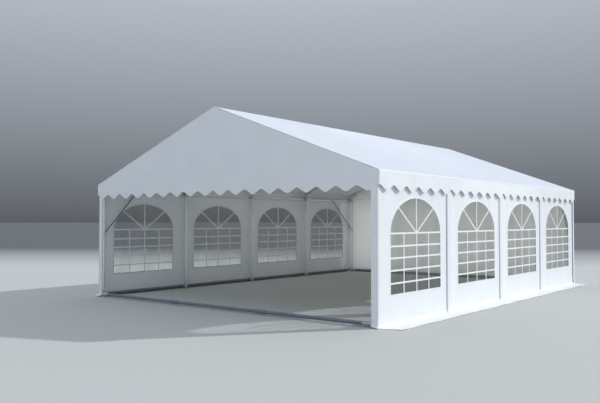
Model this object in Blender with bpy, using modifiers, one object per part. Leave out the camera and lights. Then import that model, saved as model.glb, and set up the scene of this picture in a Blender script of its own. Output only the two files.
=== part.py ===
"""Frame marquee, 6 m by 8 m: steel tube portals under a coated fabric cover.

Units are metres, +Z is up, +X is the right-hand side and the open gable faces -Y.
Places along the tent are measured from the outer face of the open gable; an empty
then carries the whole tent so that the origin lies under the middle of its outline.
"""
import bmesh
import bpy
from math import atan2, cos, pi, radians, sin, tan
from mathutils import Matrix, Vector

# Cover
cover_width = 6.0
cover_length = 8.0
eave_height = 2.02
ridge_height = 3.14
cloth = 0.004
valance_drop = 0.18
scallop_pitch = 1.0 / 3.0
scallop_depth = 0.08
scallop_steps = 6

# Frame
bay_count = 4
tube_radius = 0.025
fitting_wall = 0.006
knuckle_rise = 0.001
sleeve_overlap = 0.004
end_set_back = 0.002
fitting_length = 0.12
socket_length = 0.17
socket_stop = 0.04
rail_drop = 0.1286
head_sleeve_below = 0.0414
foot_sleeve_height = 0.12
plate_side = 0.14
plate_thickness = 0.008
ground_bar_height = 0.046
coupling_place = 0.95
coupling_wall = 0.004
coupling_length = 0.187
brace_radius = 0.0125
brace_drop = 0.78
brace_reach = 0.78
collar_length = 0.05
bore_overrun = 0.05
round_sides = 12

# Walls
wall_inset = 0.0334
wall_over_rail = 0.04
skirt_width = 0.30
bend_radius = 0.035
bend_steps = 4
lap_stand_off = 0.016
lap_ahead = 0.05
lap_behind = 0.06
lap_step = 0.03
tuck_length = 0.02
tuck_bottom = 0.06
corner_flap = 0.085
skirt_start = 0.08
back_wrap = 0.065

# Windows
window_width = 1.40
window_sill = 0.40
window_spring = 1.20
window_rise = 0.475
arch_steps = 20
film = 0.002
film_overlap = 0.025

touch = 0.0003
flap_clearance = 0.0009
window_cut_depth = 0.032
weld_distance = 0.00001

# Sizes that follow from the ones above
half_width = cover_width / 2
slope = atan2(ridge_height - eave_height, half_width)
fitting_radius = tube_radius + fitting_wall
knuckle_radius = fitting_radius + knuckle_rise
coupling_radius = tube_radius + coupling_wall
axis_drop = (cloth + touch + knuckle_radius) / cos(slope)
bore_radius = tube_radius + touch
wall_x = half_width - wall_inset - cloth / 2
rail_x = wall_x - cloth / 2 - touch - fitting_radius
post_x = rail_x - 2 * fitting_radius + sleeve_overlap
knee_height = ridge_height - post_x * tan(slope) - axis_drop
rail_height = knee_height - rail_drop
wall_top = rail_height + wall_over_rail
ridge_axis = ridge_height - axis_drop
flap_y = cloth + touch + cloth / 2
end_y = flap_y + cloth / 2 + flap_clearance + fitting_radius
frame_y = [end_y + k * (cover_length - 2 * end_y) / bay_count for k in range(bay_count + 1)]
back_y = cover_length - flap_y
lap_x = wall_x + lap_stand_off
run_start = end_y - fitting_radius + end_set_back
run_end = cover_length - run_start
tent_end = back_y + skirt_width
uphill = Vector((-cos(slope), 0.0, sin(slope)))

STEEL = ("galvanised_steel", (0.42, 0.45, 0.46), 0.42, 0.9)
BAR_STEEL = ("ground_bar_steel", (0.16, 0.19, 0.22), 0.45, 0.8)
COVER = ("cover_fabric", (0.83, 0.86, 0.92), 0.42, 0.0)
WALL = ("wall_fabric", (0.86, 0.88, 0.91), 0.42, 0.0)
FILM = ("window_film", (0.70, 0.74, 0.74), 0.12, 0.0)


def clear_scene():
    for old in list(bpy.data.objects):
        bpy.data.objects.remove(old, do_unlink=True)


def new_collection(name):
    group = bpy.data.collections.new(name)
    bpy.context.scene.collection.children.link(group)
    return group


def material_for(node, look):
    name, colour, roughness, metallic = look
    made = bpy.data.materials.new(node + "_" + name)
    made.use_nodes = True
    shader = made.node_tree.nodes["Principled BSDF"]
    shader.inputs["Base Color"].default_value = (*colour, 1.0)
    shader.inputs["Roughness"].default_value = roughness
    shader.inputs["Metallic"].default_value = metallic
    return made


def place(name, data, look, location=(0, 0, 0), turn=0.0):
    """Add one piece of the tent, with its own material, under the tent's empty."""
    piece = bpy.data.objects.new(name, data)
    parts.objects.link(piece)
    piece.parent = tent
    piece.location = location
    piece.rotation_euler = (0.0, 0.0, turn)
    piece.data = data.copy()
    piece.data.materials.clear()
    piece.data.materials.append(material_for(name, look))
    return piece


def mesh_of(form, name):
    data = bpy.data.meshes.new(name)
    form.to_mesh(data)
    form.free()
    return data


def rod(start, end, radius, rolled=False):
    """A round bar between two points; rolled turns it by half of one of its flats."""
    start = Vector(start)
    end = Vector(end)
    along = end - start
    turn = along.to_track_quat("Z", "Y").to_matrix().to_4x4()
    if rolled:
        turn @= Matrix.Rotation(pi / round_sides, 4, "Z")
    form = bmesh.new()
    bmesh.ops.create_cone(form, cap_ends=True, segments=round_sides, radius1=radius,
                          radius2=radius, depth=along.length,
                          matrix=Matrix.Translation((start + end) / 2) @ turn)
    return mesh_of(form, "rod")


def block(low, high):
    """A box between two corners."""
    low = Vector(low)
    high = Vector(high)
    form = bmesh.new()
    size = Matrix.Diagonal((*(high - low), 1.0))
    bmesh.ops.create_cube(form, size=1.0, matrix=Matrix.Translation((low + high) / 2) @ size)
    return mesh_of(form, "block")


def ball(centre, radius):
    form = bmesh.new()
    turn = Matrix.Rotation(pi / round_sides, 4, "Z")
    bmesh.ops.create_uvsphere(form, u_segments=round_sides, v_segments=round_sides // 2,
                              radius=radius, matrix=Matrix.Translation(centre) @ turn)
    return mesh_of(form, "ball")


def tool(data):
    """A helper solid that only joins or cuts another one."""
    shape = bpy.data.objects.new("tool_" + data.name, data)
    cutters.objects.link(shape)
    shape.hide_render = True
    shape.display_type = "WIRE"
    return shape


def fused(solids, bores=()):
    """One mesh: the solids joined, then the bores cut out of them."""
    base = tool(solids[0])
    steps = [("UNION", data) for data in solids[1:]]
    steps += [("DIFFERENCE", data) for data in bores]
    helpers = [base]
    for operation, data in steps:
        helper = tool(data)
        helpers.append(helper)
        step = base.modifiers.new(operation.lower(), "BOOLEAN")
        step.operation = operation
        step.solver = "EXACT"
        step.object = helper
    seen = base.evaluated_get(bpy.context.evaluated_depsgraph_get())
    result = bpy.data.meshes.new_from_object(seen)
    for helper in helpers:
        bpy.data.objects.remove(helper, do_unlink=True)
    return smooth(result)


def smooth(data, crease=35):
    data.shade_smooth()
    data.set_sharp_from_angle(angle=radians(crease))
    return data


def reach(inward, length):
    """Y range of a sleeve on a frame at y = 0: centred, or from an end face inwards."""
    if inward == 0:
        return -length / 2, length / 2
    outer = -inward * (fitting_radius - end_set_back)
    return sorted((outer, outer + inward * length))


def sleeve_bore(x, z, low, high):
    """Bore for a rail that passes through a sleeve along the tent."""
    return rod((x, low - bore_overrun, z), (x, high + bore_overrun, z), bore_radius)


def post_mesh(inward):
    """Post of the right side at y = 0: foot plate, tube, foot fitting and head fitting.

    The head fitting holds the rafter and the eave rail, the foot fitting holds the side
    ground bar. inward is +1 on the open gable, -1 on the back gable and 0 between them;
    an end post also takes the ground bar that crosses the gable.
    """
    knee = Vector((post_x, 0.0, knee_height))
    low, high = reach(inward, fitting_length)
    plate_low, plate_high = reach(inward, plate_side)
    solids = [
        rod((post_x, 0, foot_sleeve_height / 2), (post_x, 0, rail_height), tube_radius),
        block((post_x - plate_side / 2, plate_low, 0.0),
              (post_x + plate_side / 2, plate_high, plate_thickness)),
        rod((post_x, 0, plate_thickness / 2), (post_x, 0, foot_sleeve_height), fitting_radius),
        rod((post_x, 0, rail_height - head_sleeve_below), knee, fitting_radius),
        ball(knee, knuckle_radius),
        rod(knee, knee + uphill * socket_length, fitting_radius, rolled=True),
        rod((rail_x, low, rail_height), (rail_x, high, rail_height), fitting_radius),
        rod((rail_x, low, ground_bar_height), (rail_x, high, ground_bar_height),
            fitting_radius),
    ]
    bores = [
        rod(knee + uphill * socket_stop, knee + uphill * (socket_length + bore_overrun),
            bore_radius),
        sleeve_bore(rail_x, rail_height, low, high),
        sleeve_bore(rail_x, ground_bar_height, low, high),
    ]
    if inward != 0:
        stop = post_x - socket_stop
        mouth = post_x - fitting_radius - fitting_length
        solids.append(rod((post_x, 0, ground_bar_height), (mouth, 0, ground_bar_height),
                          fitting_radius, rolled=True))
        bores.append(rod((stop, 0, ground_bar_height),
                         (mouth - bore_overrun, 0, ground_bar_height), bore_radius))
    return fused(solids, bores)


def make_posts():
    """Ten posts. Turned half round, a right-hand post serves on the left side."""
    meshes = {inward: post_mesh(inward) for inward in (1, 0, -1)}
    for k, y in enumerate(frame_y):
        inward = {0: 1, bay_count: -1}.get(k, 0)
        place(f"post_right_{k + 1}", meshes[inward], STEEL, (0, y, 0))
        place(f"post_left_{k + 1}", meshes[-inward], STEEL, (0, y, 0), pi)


def rafter_pair_mesh(inward):
    """Two rafters joined by their ridge fitting, which the ridge rail passes through."""
    top = Vector((0.0, 0.0, ridge_axis))
    low, high = reach(inward, fitting_length)
    solids = [rod((0, low, ridge_axis), (0, high, ridge_axis), fitting_radius)]
    for side in (1, -1):
        down = Vector((side * cos(slope), 0.0, -sin(slope)))
        knee = Vector((side * post_x, 0.0, knee_height))
        foot = knee - down * (socket_stop + touch)
        solids.append(rod(top, top + down * socket_length, fitting_radius))
        solids.append(rod(top + down * socket_length / 2, foot, tube_radius))
    return fused(solids, [sleeve_bore(0.0, ridge_axis, low, high)])


def make_rafters():
    meshes = {inward: rafter_pair_mesh(inward) for inward in (1, 0, -1)}
    for k, y in enumerate(frame_y):
        inward = {0: 1, bay_count: -1}.get(k, 0)
        place(f"rafter_pair_{k + 1}", meshes[inward], STEEL, (0, y, 0))


def make_rails():
    """Eave rails and ridge rail: whole tubes held in the sleeves of the fittings."""
    run = smooth(rod((0, run_start, 0), (0, run_end, 0), tube_radius))
    place("ridge_rail", run, STEEL, (0, 0, ridge_axis))
    for side, sign in (("right", 1), ("left", -1)):
        place(f"eave_rail_{side}", run, STEEL, (sign * rail_x, 0, rail_height))
        place(f"ground_bar_{side}", run, BAR_STEEL, (sign * rail_x, 0, ground_bar_height))


def make_cross_bars():
    """Ground bars across both gables, each in three lengths with two couplings."""
    end = post_x - socket_stop - touch
    solids = [rod((-end, 0, 0), (end, 0, 0), tube_radius)]
    for place_x in (-coupling_place, coupling_place):
        half = coupling_length / 2
        solids.append(rod((place_x - half, 0, 0), (place_x + half, 0, 0), coupling_radius))
    bar = fused(solids)
    place("ground_bar_front", bar, BAR_STEEL, (0, frame_y[0], ground_bar_height))
    place("ground_bar_back", bar, BAR_STEEL, (0, frame_y[-1], ground_bar_height))


def brace_mesh(inward):
    """Knee brace from a corner post up to the eave rail, with a collar round each."""
    half = collar_length / 2
    on_post = Vector((post_x, 0.0, rail_height - brace_drop))
    on_rail = Vector((rail_x, inward * brace_reach, rail_height))
    up = Vector((0, 0, half))
    along = Vector((0, half, 0))
    bore_up = Vector((0, 0, half + bore_overrun))
    bore_along = Vector((0, half + bore_overrun, 0))
    solids = [
        rod(on_post, on_rail, brace_radius),
        rod(on_post - up, on_post + up, fitting_radius),
        rod(on_rail - along, on_rail + along, fitting_radius),
    ]
    bores = [
        rod(on_post - bore_up, on_post + bore_up, bore_radius),
        rod(on_rail - bore_along, on_rail + bore_along, bore_radius),
    ]
    return fused(solids, bores)


def make_braces():
    meshes = {inward: brace_mesh(inward) for inward in (1, -1)}
    for end_name, y, inward in (("front", frame_y[0], 1), ("back", frame_y[-1], -1)):
        place(f"knee_brace_{end_name}_right", meshes[inward], STEEL, (0, y, 0))
        place(f"knee_brace_{end_name}_left", meshes[-inward], STEEL, (0, y, 0), pi)


def scallops(length):
    """Drop of the valance below the eave, from one corner to the other."""
    count = round(length / scallop_pitch)
    steps = count * scallop_steps
    line = []
    for i in range(steps + 1):
        wave = (1 - cos(2 * pi * count * i / steps)) / 2
        line.append((length * i / steps, valance_drop + scallop_depth * wave))
    return line


def shell(name, form, thickness, offset, look):
    """A thin closed solid from an open surface."""
    piece = place(name, mesh_of(form, name), look)
    solid = piece.modifiers.new("thickness", "SOLIDIFY")
    solid.thickness = thickness
    solid.offset = offset
    solid.use_even_offset = True
    return piece


def make_roof():
    """Both slopes and the scalloped valances along the sides, in one cover."""
    form = bmesh.new()
    line = scallops(cover_length)
    ridge = [form.verts.new((0, y, ridge_height)) for y in (0, cover_length)]
    for sign in (1, -1):
        x = sign * half_width
        eave = [form.verts.new((x, y, eave_height)) for y, drop in line]
        hem = [form.verts.new((x, y, eave_height - drop)) for y, drop in line]
        faces = [[eave[i], hem[i], hem[i + 1], eave[i + 1]] for i in range(len(line) - 1)]
        faces.append([ridge[0]] + eave + [ridge[1]])
        for face in faces:
            form.faces.new(face if sign > 0 else reversed(face))
    bmesh.ops.recalc_face_normals(form, faces=form.faces)
    apex_up = sum(f.normal.z for f in form.faces) > 0
    shell("roof_cover", form, cloth, -1.0 if apex_up else 1.0, COVER)


def flat_piece(name, outline, thickness, look, location, turn):
    """A flat outline in its own plane, stood up and turned to face its way."""
    data = bpy.data.curves.new(name, "CURVE")
    data.dimensions = "2D"
    data.fill_mode = "BOTH"
    data.extrude = thickness / 2
    line = data.splines.new("POLY")
    line.points.add(len(outline) - 1)
    for point, (x, y) in zip(line.points, outline):
        point.co = (x, y, 0.0, 1.0)
    line.use_cyclic_u = True
    piece = place(name, data, look, location)
    piece.rotation_euler = (pi / 2, 0.0, turn)
    return piece


def make_gables():
    """Triangle and scalloped valance of each end, just under the cover's edge."""
    half = half_width - cloth - touch
    lower = (cloth + touch) / cos(slope)
    hem = [(u - half, eave_height - drop) for u, drop in scallops(2 * half)]
    eave = ridge_height - half * tan(slope) - lower
    outline = hem + [(half, eave), (0.0, ridge_height - lower), (-half, eave)]
    place_y = {"front": cloth / 2, "back": cover_length - cloth / 2}
    for end_name, y in place_y.items():
        flat_piece(f"gable_{end_name}", outline, cloth, COVER, (0, y, 0), 0.0)


def window_outline(margin=0.0):
    """Rectangle with a low elliptical arch, round the middle of the sill line."""
    half = window_width / 2 + margin
    rise = window_rise + margin
    outline = [(-half, window_sill - margin), (half, window_sill - margin)]
    for i in range(arch_steps + 1):
        angle = pi * i / arch_steps
        outline.append((half * cos(angle), window_spring + rise * sin(angle)))
    return outline


def skirt_profile():
    """Distance out and height along the foot of a wall, down to the skirt's edge."""
    line = []
    for i in range(bend_steps + 1):
        angle = pi / 2 * i / bend_steps
        line.append((bend_radius * (1 - cos(angle)), bend_radius * (1 - sin(angle))))
    line.append((skirt_width, 0.0))
    return [(out, rise + cloth / 2) for out, rise in line]


def make_side_panel(side, sign, k):
    """Wall panel of one bay, with a window opening and a skirt that lies on the ground.

    Its front edge laps over the panel ahead and stands a little off it; its back edge is
    tucked under the next one. The first panel wraps round the corner post instead.
    """
    first = k == 0
    last = k == bay_count - 1
    end_flat = frame_y[k + 1] - lap_ahead - touch
    end_tuck = frame_y[k + 1] + tuck_length
    if first:
        columns = [(wall_x - corner_flap, flap_y, 0.0), (wall_x, flap_y, 0.0),
                   (wall_x, skirt_start, 0.0)]
        skirt_from = 2
    else:
        y = frame_y[k]
        columns = [(lap_x, y - lap_ahead, lap_stand_off), (lap_x, y + lap_behind, lap_stand_off),
                   (wall_x, y + lap_behind + lap_step, 0.0)]
        skirt_from = 0
    columns.append((wall_x, end_flat, 0.0))
    columns.append((wall_x, end_tuck, 0.0))
    skirt_to = len(columns) - 2

    profile = skirt_profile()
    form = bmesh.new()
    grid = []
    for index, (x, y, off) in enumerate(columns):
        points = [(x, y, wall_top), (x, y, tuck_bottom)]
        for out, z in profile:
            share = (skirt_width - off) / skirt_width
            y_here = y
            if last and index == skirt_to:
                y_here = back_y - lap_stand_off - cloth - 2 * touch + out
            points.append((x + out * share, y_here, z))
        grid.append([form.verts.new((sign * px, py, pz)) for px, py, pz in points])
    for index in range(len(columns) - 1):
        here = grid[index]
        there = grid[index + 1]
        rows = len(here) - 1
        if index < skirt_from:
            rows = 2
        if index >= skirt_to:
            rows = 1
        for row in range(rows):
            form.faces.new((here[row], there[row], there[row + 1], here[row + 1]))
    loose = [v for v in form.verts if not v.link_faces]
    bmesh.ops.delete(form, geom=loose, context="VERTS")
    piece = shell(f"side_wall_{side}_{k + 1}", form, cloth, 0.0, WALL)

    middle = (frame_y[k] + frame_y[k + 1]) / 2
    opening = flat_piece(f"opening_{side}_{k + 1}", window_outline(), window_cut_depth,
                         WALL, (sign * wall_x, middle, 0), pi / 2)
    cutter = solid_from_curve(opening)
    cut = piece.modifiers.new("window", "BOOLEAN")
    cut.operation = "DIFFERENCE"
    cut.solver = "EXACT"
    cut.object = cutter

    film_x = wall_x - cloth / 2 - touch - film / 2
    flat_piece(f"window_film_{side}_{k + 1}", window_outline(film_overlap), film, FILM,
               (sign * film_x, middle, 0), pi / 2)


def solid_from_curve(shape):
    """Turn an extruded outline into a closed mesh that can cut."""
    bpy.context.view_layer.update()
    seen = shape.evaluated_get(bpy.context.evaluated_depsgraph_get())
    data = bpy.data.meshes.new_from_object(seen)
    form = bmesh.new()
    form.from_mesh(data)
    bmesh.ops.remove_doubles(form, verts=form.verts, dist=weld_distance)
    form.to_mesh(data)
    form.free()
    made = tool(data)
    made.matrix_world = shape.matrix_world
    bpy.data.objects.remove(shape, do_unlink=True)
    return made


def make_back_wall():
    """Plain back wall: wrapped round both corners, with a mitred skirt on the ground."""
    profile = skirt_profile()
    form = bmesh.new()
    columns = []
    for sign in (-1, 1):
        wrap = [form.verts.new((sign * lap_x, back_y - back_wrap, z))
                for z in (wall_top, tuck_bottom)]
        corner = [form.verts.new((sign * lap_x, back_y, z)) for z in (wall_top, tuck_bottom)]
        for out, z in profile:
            corner.append(form.verts.new((sign * (lap_x + out), back_y + out, z)))
        columns.append((wrap, corner))
    for wrap, corner in columns:
        form.faces.new((wrap[0], corner[0], corner[1], wrap[1]))
    left = columns[0][1]
    right = columns[1][1]
    for row in range(len(left) - 1):
        form.faces.new((left[row], right[row], right[row + 1], left[row + 1]))
    bmesh.ops.recalc_face_normals(form, faces=form.faces)
    shell("back_wall", form, cloth, 0.0, WALL)


clear_scene()
parts = new_collection("marquee_tent")
cutters = new_collection("cutters")
tent = bpy.data.objects.new("tent", None)
tent.location = (0.0, -tent_end / 2, 0.0)
parts.objects.link(tent)

make_posts()
make_rafters()
make_rails()
make_cross_bars()
make_braces()
make_roof()
make_gables()
for side_name, side_sign in (("right", 1), ("left", -1)):
    for bay in range(bay_count):
        make_side_panel(side_name, side_sign, bay)
make_back_wall()
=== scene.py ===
# %% [markdown]
# This lesson dresses a frame marquee, 6 m wide and 8 m long. Steel tubes carry a white coated
# cloth with a scalloped edge, and the side walls have arched windows. The plain solids are
# made already, so every piece here takes its place from them and only adds what they lack:
# thin cloth, hems, window bars, round tubes, fittings and real surfaces.

# %% Load the plain frame
from bisect import bisect_right
from math import asin, atan2, cos, pi, radians, sin, tan

import bmesh
import bpy
import numpy as np
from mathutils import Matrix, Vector


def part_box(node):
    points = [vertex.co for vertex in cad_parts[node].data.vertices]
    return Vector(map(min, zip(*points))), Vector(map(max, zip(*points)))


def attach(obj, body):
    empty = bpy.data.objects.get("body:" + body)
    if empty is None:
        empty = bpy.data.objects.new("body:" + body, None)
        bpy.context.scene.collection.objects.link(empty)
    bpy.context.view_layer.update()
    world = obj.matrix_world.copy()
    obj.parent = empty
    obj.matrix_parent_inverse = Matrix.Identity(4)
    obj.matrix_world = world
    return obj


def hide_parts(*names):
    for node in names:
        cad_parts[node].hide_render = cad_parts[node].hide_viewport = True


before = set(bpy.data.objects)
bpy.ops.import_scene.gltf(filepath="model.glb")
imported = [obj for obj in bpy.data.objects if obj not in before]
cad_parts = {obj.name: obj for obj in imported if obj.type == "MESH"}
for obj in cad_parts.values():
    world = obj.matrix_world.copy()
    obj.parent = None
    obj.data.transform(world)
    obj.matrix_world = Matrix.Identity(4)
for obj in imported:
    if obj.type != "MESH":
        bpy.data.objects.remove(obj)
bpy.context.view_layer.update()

# %% [markdown]
# The solids also give the sizes that the cloth is cut to. Reading them from the frame, not
# typing them again, keeps the dressed tent in step with the plain one. The few lengths typed
# here are those that a box can't tell, such as the depth of a scallop.


# %% Read the main sizes
def middle(node):
    low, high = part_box(node)
    return (low + high) / 2


cover_low, cover_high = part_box("roof_cover")
front, back = cover_low.y, cover_high.y
half_width, ridge_height = cover_high.x, cover_high.z
valance_drop, scallop_depth, scallop_pitch = 0.186, 0.082, 1 / 3
solid_valance, half_solid_cloth, post_behind_rail = 0.26, 0.002, 0.058
eave_height = cover_low.z + solid_valance
slope = atan2(ridge_height - eave_height, half_width)
frame_lines = [middle(node).y for node in ("ground_bar_front", "post_right_2", "post_right_3",
                                           "post_right_4", "ground_bar_back")]
rail_x, rail_z = middle("eave_rail_right").x, middle("eave_rail_right").z
bar_z = middle("ground_bar_right").z
ridge_axis = middle("ridge_rail").z
wall_low, wall_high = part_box("side_wall_right_2")
wall_x, wall_top = wall_low.x + half_solid_cloth, wall_high.z
film_low, film_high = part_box("window_film_right_2")
film_overlap = 0.025
window_sill, window_top = film_low.z + film_overlap, film_high.z - film_overlap
window_half = (film_high.y - film_low.y) / 2 - film_overlap
window_spring = 1.20
post_x = rail_x - post_behind_rail
knee_z = ridge_axis - post_x * tan(slope)
print("frames at", [round(y, 3) for y in frame_lines], "window", round(window_half * 2, 3),
      "by", round(window_top - window_sill, 3))

# %% [markdown]
# A finish in Blender is a tree of nodes. This class adds nodes to one tree with short words,
# fills their sockets with values or links, and hands back what they put out, so that each
# finish below reads as a recipe.


# %% Short words for nodes
class Recipe:
    """A node tree that is written in short words."""

    def __init__(self, tree):
        self.tree = tree

    def add(self, kind, sockets=(), **settings):
        node = self.tree.nodes.new("ShaderNode" + kind)
        for name, value in settings.items():
            setattr(node, name, value)
        return self.fill(node, sockets)

    def fill(self, node, sockets):
        for key, value in dict(sockets).items():
            if isinstance(value, bpy.types.NodeSocket):
                self.tree.links.new(value, node.inputs[key])
            else:
                node.inputs[key].default_value = value
        return node

    def maths(self, operation, a, b=0.0, clamp=False):
        return self.add("Math", {0: a, 1: b}, operation=operation, use_clamp=clamp).outputs[0]

    def plus(self, a, b, clamp=False):
        return self.maths("ADD", a, b, clamp)

    def times(self, a, b, clamp=False):
        return self.maths("MULTIPLY", a, b, clamp)

    def ripples(self, a):
        return self.maths("ABSOLUTE", self.maths("SINE", a))

    def parts(self, vector):
        return self.add("SeparateXYZ", {0: vector}).outputs

    def place(self):
        return self.add("NewGeometry").outputs["Position"]

    def toward(self, vector, direction):
        return self.add("VectorMath", {0: vector, 1: direction},
                        operation="DOT_PRODUCT").outputs["Value"]

    def mixed(self, share, a, b, blend_type="MIX"):
        """Colour a, going to colour b as share goes from 0 to 1."""
        return self.add("Mix", {0: share, 6: a, 7: b}, data_type="RGBA",
                        blend_type=blend_type).outputs[2]

    def ranged(self, value, low, high, to_low=0.0, to_high=1.0):
        return self.add("MapRange", {"Value": value, "From Min": low, "From Max": high,
                                     "To Min": to_low, "To Max": to_high}).outputs[0]

    def noise(self, place, scale, detail=3.0, stretch=(1, 1, 1)):
        moved = self.add("Mapping", {"Vector": place, "Scale": stretch}).outputs[0]
        return self.add("TexNoise", {"Vector": moved, "Scale": scale,
                                     "Detail": detail}).outputs[0]

    def use(self, group, sockets):
        return self.add("Group", sockets, node_tree=group.tree).outputs


def paint(red, green, blue):
    """A colour given as it looks on a screen, 0 to 255, in the linear values Blender wants."""
    def linear(value):
        share = value / 255
        return share / 12.92 if share <= 0.04045 else ((share + 0.055) / 1.055) ** 2.4
    return (linear(red), linear(green), linear(blue), 1.0)


print("screen grey 128 in linear light:", round(paint(128, 128, 128)[0], 3))


# %% [markdown]
# An effect that several finishes share is a node group: a small tree with sockets of its own.
# A material uses it like any node, with its own values. The kind of each input follows from
# its first value: a number, a colour, or None for a place.


# %% Node groups
class Group(Recipe):
    """A node group. group["Name"] is what comes in there, and put() fills what goes out."""

    def __init__(self, name, inputs, outputs):
        super().__init__(bpy.data.node_groups.new(name, "ShaderNodeTree"))
        for label, value in inputs.items():
            kind = {float: "Float", tuple: "Color"}.get(type(value), "Vector")
            made = self.tree.interface.new_socket(label, in_out="INPUT",
                                                  socket_type="NodeSocket" + kind)
            if value is not None:
                made.default_value = value
        for label in outputs:
            kind = "Color" if label == "Colour" else "Float"
            self.tree.interface.new_socket(label, in_out="OUTPUT",
                                           socket_type="NodeSocket" + kind)
        self.given = self.tree.nodes.new("NodeGroupInput").outputs
        self.end = self.tree.nodes.new("NodeGroupOutput")
        print("group:", name, "gives", ", ".join(outputs))

    def __getitem__(self, label):
        return self.given[label]

    def put(self, results):
        self.fill(self.end, results)


# %% [markdown]
# Tent cloth is a polyester net pressed into two layers of soft plastic. Close up, the threads
# show through as a fine grid. Two sine waves, one along each thread direction, give that grid
# in metres, so the same group serves every cloth piece at the same real scale.

# %% Group for the net under the coating
net = Group("net under coating", {"Place": None, "Thread Pitch": 0.0022, "Depth": 0.00005},
            ("Height", "Threads"))
along = net.parts(net["Place"])
turns = net.maths("DIVIDE", pi, net["Thread Pitch"])
threads = net.maths("MAXIMUM", *(net.ripples(net.times(along[axis], turns)) for axis in (0, 1)))
uneven = net.ranged(net.noise(net["Place"], 260.0), 0.3, 0.7, 0.6, 1.0)
threads = net.times(threads, uneven)
net.put({"Threads": threads, "Height": net.times(threads, net["Depth"])})

# %% [markdown]
# A cover spends most of its life folded in a bag. Long soft creases stay in it for years, and
# tension pulls shallow folds between the frames. Noise that is stretched along one direction,
# read twice at different scales, makes both without a picture.

# %% Group for the creases of a stored cloth
creases = Group("storage creases", {"Place": None, "Depth": 0.001}, ("Height", "Mottle"))
long_folds = creases.noise(creases["Place"], 1.3, 2.0, (1.0, 0.35, 1.0))
short_folds = creases.noise(creases["Place"], 5.5, 3.0, (1.0, 0.6, 1.0))
ridges = creases.maths("ABSOLUTE", creases.maths("SUBTRACT", short_folds, 0.5))
folds = creases.maths("SUBTRACT", long_folds, creases.times(ridges, 0.22))
creases.put({"Height": creases.times(folds, creases["Depth"]),
             "Mottle": creases.noise(creases["Place"], 2.4, 5.0)})

# %% [markdown]
# Painted shade: what faces the sky is painted a little greyer, which tones down how brightly
# the sun lights the slopes. The upward part of the surface's own direction is the mask, so the
# slopes of the roof turn a little greyer while the valance stays white.

# %% Group for shade painted on cloth from above
shade_from_above = Group("shade painted from above", {"Colour": (0.8, 0.8, 0.8, 1.0),
                                   "Painted Shade Colour": (0.7, 0.7, 0.7, 1.0)}, ("Colour",))
# Painted shade: the more a face looks up, the more it takes the greyer second colour.
upward = shade_from_above.parts(shade_from_above.add("NewGeometry").outputs["Normal"])[2]
painted_shade = shade_from_above.ranged(upward, 0.35, 0.85)
shade_from_above.put({"Colour": shade_from_above.mixed(painted_shade, shade_from_above["Colour"], shade_from_above["Painted Shade Colour"])})

# %% [markdown]
# Outdoors, rain splashes soil on the lowest hand's breadth of a wall, and dust runs down in
# faint streaks. The height above the ground drives the splash and a noise stretched along Z
# drives the streaks. The group gives the dirtied colour and the mask, for the roughness.

# %% Group for splashes and streaks
weather = Group("outdoor weather", {"Colour": (0.8, 0.8, 0.8, 1.0), "Splash Height": 0.2,
                                    "Soil": paint(150, 143, 128), "Amount": 0.25},
                ("Colour", "Soiled"))
point = weather.place()
height = weather.maths("DIVIDE", weather.parts(point)[2], weather["Splash Height"])
near_ground = weather.maths("POWER", weather.maths("SUBTRACT", 1.0, height, True), 2.0)
splashes = weather.ranged(weather.noise(point, 9.0, 6.0), 0.35, 0.75)
streaks = weather.ranged(weather.noise(point, 7.0, 3.0, (1.0, 1.0, 0.08)), 0.55, 0.85, 0.0, 0.22)
soiled = weather.times(weather.plus(streaks, weather.times(near_ground, splashes)),
                       weather["Amount"], True)
weather.put({"Colour": weather.mixed(soiled, weather["Colour"], weather["Soil"]),
             "Soiled": soiled})

# %% [markdown]
# Hot-dip zinc freezes in flat crystals, called spangle, each with its own grey. A Voronoi
# texture has exactly that structure: one random value for each cell. A soft noise rubs the
# tubes smoother in places, and another gives them faint dents.

# %% Group for zinc on steel
zinc = Group("zinc spangle", {"Colour": (0.5, 0.5, 0.5, 1.0), "Spangle Size": 0.012,
                              "Contrast": 0.2, "Roughness": 0.4},
             ("Colour", "Roughness", "Height"))
point = zinc.place()
cells = zinc.add("TexVoronoi", {"Vector": point, "Scale": zinc.maths(
    "DIVIDE", 1.0, zinc["Spangle Size"])}).outputs["Color"]
grain = zinc.add("SeparateColor", {0: cells}).outputs[0]
darker = zinc.mixed(zinc["Contrast"], zinc["Colour"], (0.02, 0.022, 0.025, 1.0))
rubbed = zinc.ranged(zinc.noise(point, 55.0, 4.0), 0.35, 0.65, -0.03, 0.03)
uneven = zinc.plus(rubbed, zinc.times(grain, 0.02))
zinc.put({"Colour": zinc.mixed(grain, zinc["Colour"], darker),
          "Roughness": zinc.plus(zinc["Roughness"], uneven, True),
          "Height": zinc.times(zinc.noise(point, 16.0, 2.0), 0.0002)})

# %% [markdown]
# Hems and seams are pressed with a hot ribbed wheel, which leaves fine ribs across the band.
# The band's own length and width are stored on its points, so the ribs follow every scallop.

# %% Group for the ribs of a pressed seam
ribs = Group("pressed ribs", {"Along": None, "Pitch": 0.004, "Depth": 0.0002}, ("Height",))
run = ribs.times(ribs.parts(ribs["Along"])[0], ribs.maths("DIVIDE", pi, ribs["Pitch"]))
ribs.put({"Height": ribs.times(ribs.ripples(run), ribs["Depth"])})

# %% [markdown]
# The cloth finishes use those groups with their own values. Cover and walls are the same
# white cloth, and only the slopes of the cover get painted shade: a greyer colour on the faces
# that look up. A thin lacquer gives both a soft sheen, which is the shader's coat. Numbers
# that don't vary are set on the shader's own sockets.


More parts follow.
